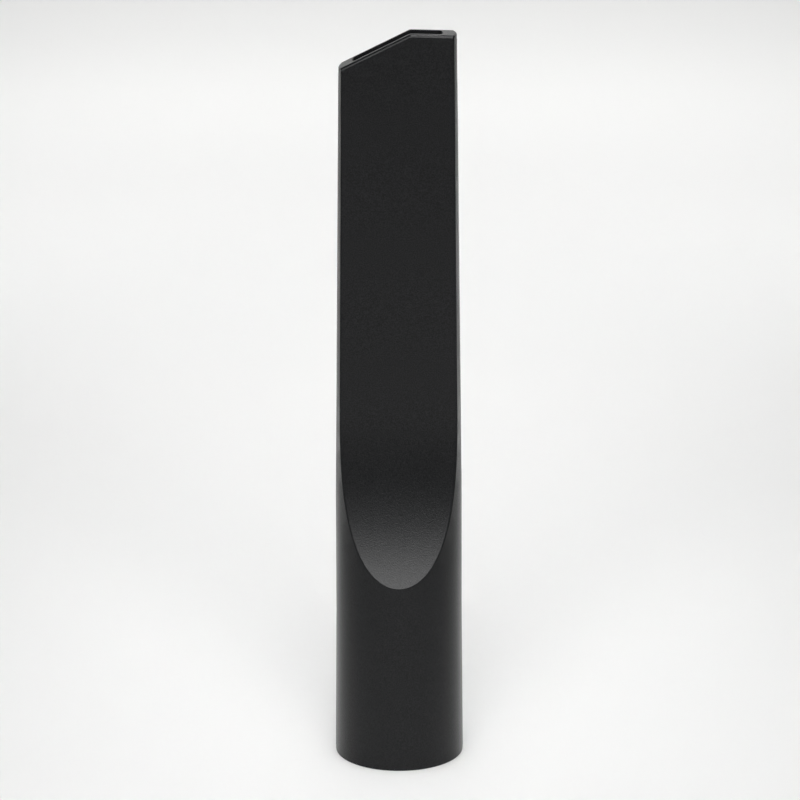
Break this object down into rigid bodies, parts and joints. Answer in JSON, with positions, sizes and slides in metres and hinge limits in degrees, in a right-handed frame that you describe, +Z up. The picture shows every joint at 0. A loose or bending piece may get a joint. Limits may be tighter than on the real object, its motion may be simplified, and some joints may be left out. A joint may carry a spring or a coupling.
{
  "type": "vacuum crevice nozzle",
  "caption": "Moulded crevice nozzle for a vacuum hose: a round push-fit socket flattens through scooped shoulders into a long hollow blade with a slanted slot mouth.",
  "frame": {"origin": "centre of the socket mouth, on the surface that the nozzle stands on", "axes": "+Z up the nozzle from the socket mouth to the tip, -Y the front scoop, +X the high end of the slanted tip"},
  "size_m": [0.036, 0.036, 0.205],
  "materials": {
    "nozzle_plastic": "black moulded plastic, satin with a fine spark-eroded grain"
  },
  "bodies": {
    "root": {"crevice_nozzle": "nozzle_plastic"}
  },
  "joints": []
}
